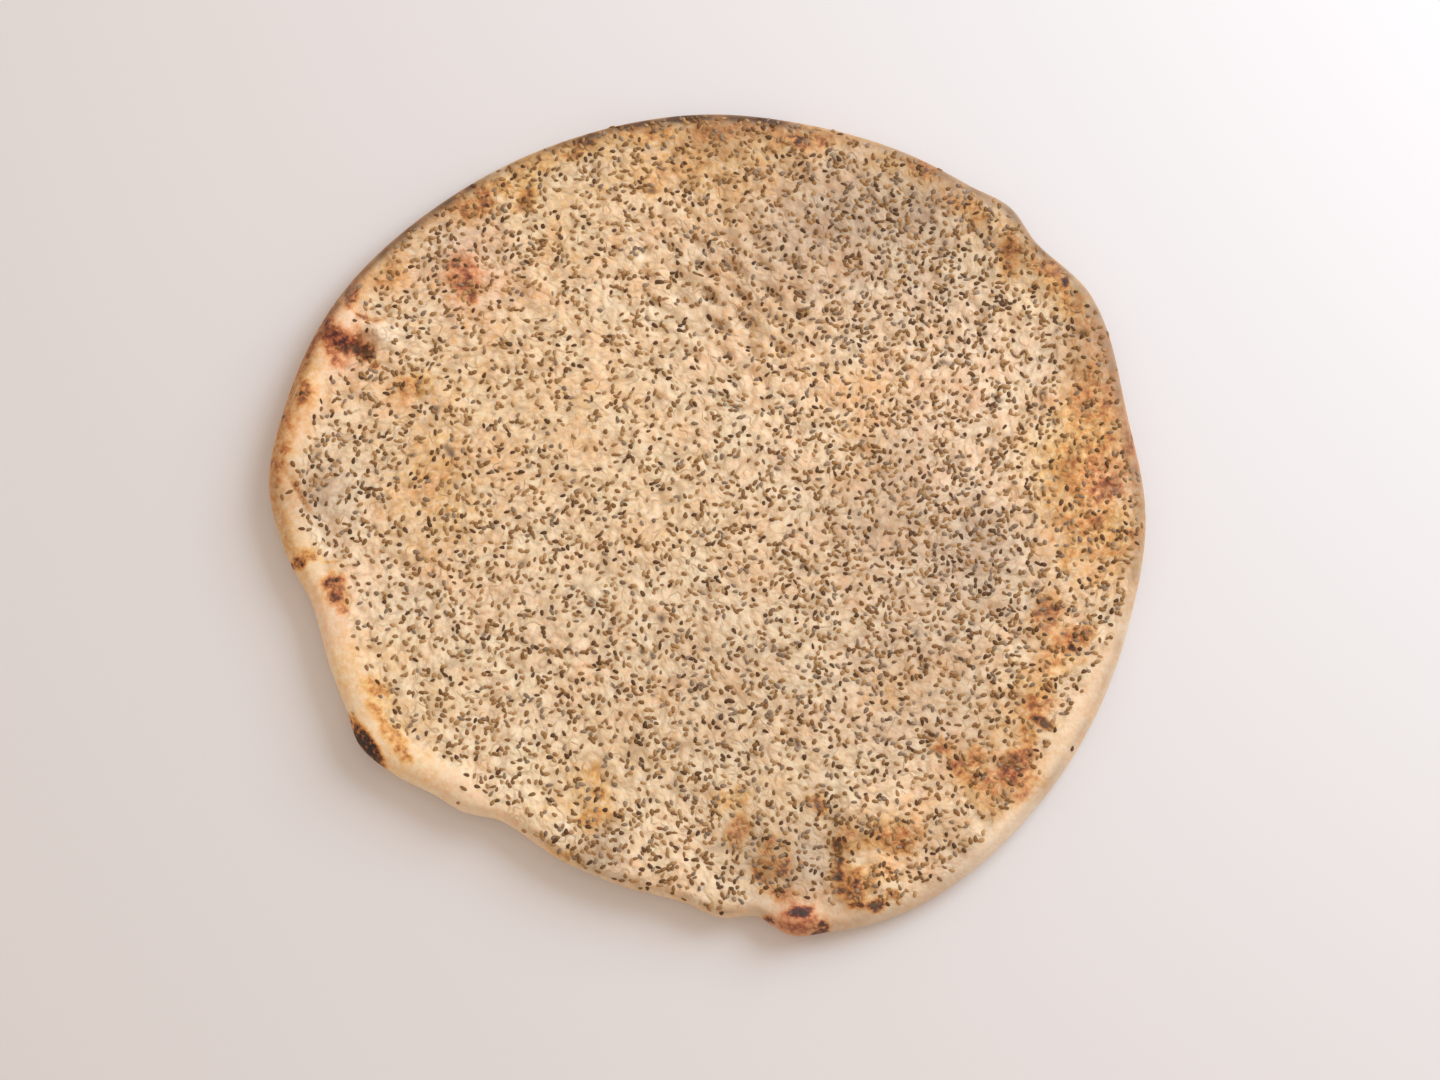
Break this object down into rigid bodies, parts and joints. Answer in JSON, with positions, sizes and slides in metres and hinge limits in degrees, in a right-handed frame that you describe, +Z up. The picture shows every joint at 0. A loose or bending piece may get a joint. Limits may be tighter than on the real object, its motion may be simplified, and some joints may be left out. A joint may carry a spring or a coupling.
{
  "type": "tamees flatbread",
  "caption": "Round hand-shaped tamees flatbread with a puffed bare rim, browned blisters and small dark seeds over its top, lying flat.",
  "frame": {"origin": "on the surface the bread lies on, under the middle of its width and depth", "axes": "+Z up out of the seeded top, +X to the eater's right along the bread's widest direction, +Y away from the eater"},
  "size_m": [0.3001, 0.2858, 0.0165],
  "materials": {
    "crust": "matt golden baked crust with browned spots and small dark seeds"
  },
  "bodies": {
    "root": {"bread": "crust"}
  },
  "joints": []
}
